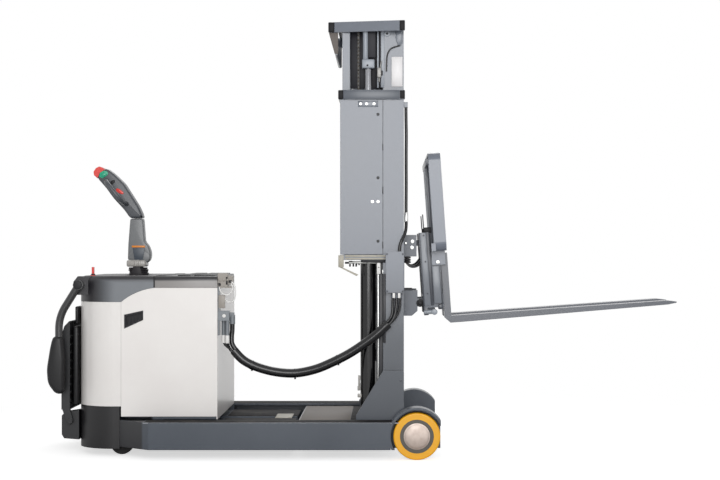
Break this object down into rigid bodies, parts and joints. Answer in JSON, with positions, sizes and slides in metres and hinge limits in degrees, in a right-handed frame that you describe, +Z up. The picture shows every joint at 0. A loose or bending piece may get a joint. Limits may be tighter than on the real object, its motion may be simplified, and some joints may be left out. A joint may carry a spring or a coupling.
{
  "type": "electric reach stacker",
  "caption": "Ride-on electric stacker with straddle legs, a two-stage mast that reaches forward between them, tilting forks and a folding rider platform.",
  "frame": {"origin": "on the floor, under the middle of the machine's bounding box", "axes": "+X to the fork tips, +Y to the machine's right, +Z up"},
  "size_m": [3.1692, 1.1, 2.17],
  "materials": {
    "slate_paint": "satin slate grey powder coat",
    "light_panel": "satin light grey paint",
    "dark_cover": "textured dark grey moulding",
    "black_paint": "satin black",
    "black_foam": "black moulded foam and rubber",
    "bright_steel": "hard chrome and bright steel",
    "chain_steel": "oiled steel",
    "connector_grey": "grey moulding and zinc plate",
    "hose_rubber": "black hose in a woven sleeve",
    "red_plastic": "red moulding",
    "yellow_tyre": "amber polyurethane",
    "hub_metal": "turned steel hub cover",
    "wheel_rubber": "black polyurethane"
  },
  "bodies": {
    "root": {"chassis_frame": "slate_paint", "straddle_legs": "slate_paint", "rear_skirt": "slate_paint", "rear_cover": "light_panel", "side_covers": "light_panel", "side_grips": "dark_cover", "front_panel": "light_panel", "top_cover": "dark_cover", "battery_lid": "dark_cover", "battery_block": "dark_cover", "stop_lever": "red_plastic", "knee_pad": "black_foam", "platform_hinge": "black_paint", "battery_connector": "connector_grey", "valve_block": "connector_grey", "body_hoses": "hose_rubber", "hose_bundle": "hose_rubber", "reach_barrel": "black_paint"},
    "steered_unit": {"drive_unit": "black_paint", "tiller_yoke": "black_paint"},
    "drive_wheel_body": {"drive_wheel": "wheel_rubber"},
    "tiller": {"tiller_stem": "dark_cover", "tiller_head": "dark_cover", "tiller_button": "red_plastic"},
    "platform_body": {"platform": "black_foam"},
    "mast_base": {"mast_carriage": "slate_paint", "outer_mast": "slate_paint", "mast_covers": "slate_paint", "lift_barrels": "black_paint", "hose_box": "slate_paint", "mast_hoses": "hose_rubber", "rear_chains": "chain_steel", "reach_rod": "bright_steel"},
    "inner_stage": {"inner_mast": "slate_paint", "lift_rods": "bright_steel", "chain_pulleys": "bright_steel", "front_chains": "chain_steel"},
    "fork_slide": {"fork_carriage": "slate_paint", "tilt_barrel": "black_paint"},
    "tilt_rod_body": {"tilt_rod": "bright_steel"},
    "fork_frame": {"tilt_frame": "slate_paint", "load_backrest": "slate_paint", "forks": "slate_paint"},
    "load_wheel_left": {"load_tyre_left": "yellow_tyre", "load_hub_left": "hub_metal"},
    "caster_left": {"caster_fork_left": "black_paint"},
    "caster_wheel_left_body": {"caster_wheel_left": "wheel_rubber"},
    "arm_left": {"side_arm_left": "black_paint", "arm_pad_left": "black_foam"},
    "load_wheel_right": {"load_tyre_right": "yellow_tyre", "load_hub_right": "hub_metal"},
    "caster_right": {"caster_fork_right": "black_paint"},
    "caster_wheel_right_body": {"caster_wheel_right": "wheel_rubber"},
    "arm_right": {"side_arm_right": "black_paint", "arm_pad_right": "black_foam"}
  },
  "joints": [
    {"name": "load_wheel_left_spin", "type": "hinge", "parent": "root", "child": "load_wheel_left", "pos_m": [0.25438, -0.5125, 0.115], "axis": [0, 1, 0], "continuous": true},
    {"name": "caster_left_swivel", "type": "hinge", "parent": "root", "child": "caster_left", "pos_m": [-1.19562, -0.312, 0.14], "axis": [0, 0, 1], "continuous": true},
    {"name": "caster_wheel_left_spin", "type": "hinge", "parent": "caster_left", "child": "caster_wheel_left_body", "pos_m": [-1.22062, -0.312, 0.0575], "axis": [0, 1, 0], "continuous": true},
    {"name": "arm_left_fold", "type": "hinge", "parent": "root", "child": "arm_left", "pos_m": [-1.42562, -0.385, 0.85], "axis": [0, 1, 0], "range_deg": [0, 90]},
    {"name": "load_wheel_right_spin", "type": "hinge", "parent": "root", "child": "load_wheel_right", "pos_m": [0.25438, 0.5125, 0.115], "axis": [0, 1, 0], "continuous": true},
    {"name": "caster_right_swivel", "type": "hinge", "parent": "root", "child": "caster_right", "pos_m": [-1.19562, 0.312, 0.14], "axis": [0, 0, 1], "continuous": true},
    {"name": "caster_wheel_right_spin", "type": "hinge", "parent": "caster_right", "child": "caster_wheel_right_body", "pos_m": [-1.22062, 0.312, 0.0575], "axis": [0, 1, 0], "continuous": true},
    {"name": "arm_right_fold", "type": "hinge", "parent": "root", "child": "arm_right", "pos_m": [-1.42562, 0.385, 0.85], "axis": [0, 1, 0], "range_deg": [0, 90]},
    {"name": "steering", "type": "hinge", "parent": "root", "child": "steered_unit", "pos_m": [-1.18762, 0, 0.262], "axis": [0, 0, 1], "range_deg": [-90, 90]},
    {"name": "drive_wheel_spin", "type": "hinge", "parent": "steered_unit", "child": "drive_wheel_body", "pos_m": [-1.18762, 0, 0.115], "axis": [0, 1, 0], "continuous": true},
    {"name": "tiller_lean", "type": "hinge", "parent": "steered_unit", "child": "tiller", "pos_m": [-1.18762, 0, 0.955], "axis": [0, 1, 0], "range_deg": [-70, 0], "stiffness_Nm_per_rad": 30, "springref_deg": 34.38},
    {"name": "platform_fold", "type": "hinge", "parent": "root", "child": "platform_body", "pos_m": [-1.48362, 0, 0.165], "axis": [0, 1, 0], "range_deg": [-90, 0], "stiffness_Nm_per_rad": 60, "springref_deg": 28.65},
    {"name": "mast_reach", "type": "slide", "parent": "root", "child": "mast_base", "axis": [1, 0, 0], "range_m": [-0.52, 0], "deforming": ["hose_bundle"]},
    {"name": "mast_lift", "type": "slide", "parent": "mast_base", "child": "inner_stage", "axis": [0, 0, 1], "range_m": [-0.29, 0.88], "deforming": ["rear_chains"]},
    {"name": "fork_lift", "type": "slide", "parent": "inner_stage", "child": "fork_slide", "axis": [0, 0, 1], "range_m": [-0.29, 0.88], "deforming": ["front_chains"]},
    {"name": "fork_tilt", "type": "hinge", "parent": "fork_slide", "child": "fork_frame", "pos_m": [0.27438, 0, 0.756], "axis": [0, 1, 0], "range_deg": [0, 6]},
    {"name": "tilt_stroke", "type": "slide", "parent": "fork_slide", "child": "tilt_rod_body", "axis": [1, 0, 0], "range_m": [0, 0.03234]}
  ],
  "couplings": [
    {"joint": "fork_lift", "follows": "mast_lift", "ratio": 1},
    {"joint": "tilt_stroke", "follows": "fork_tilt", "m_per_rad": 0.304}
  ]
}
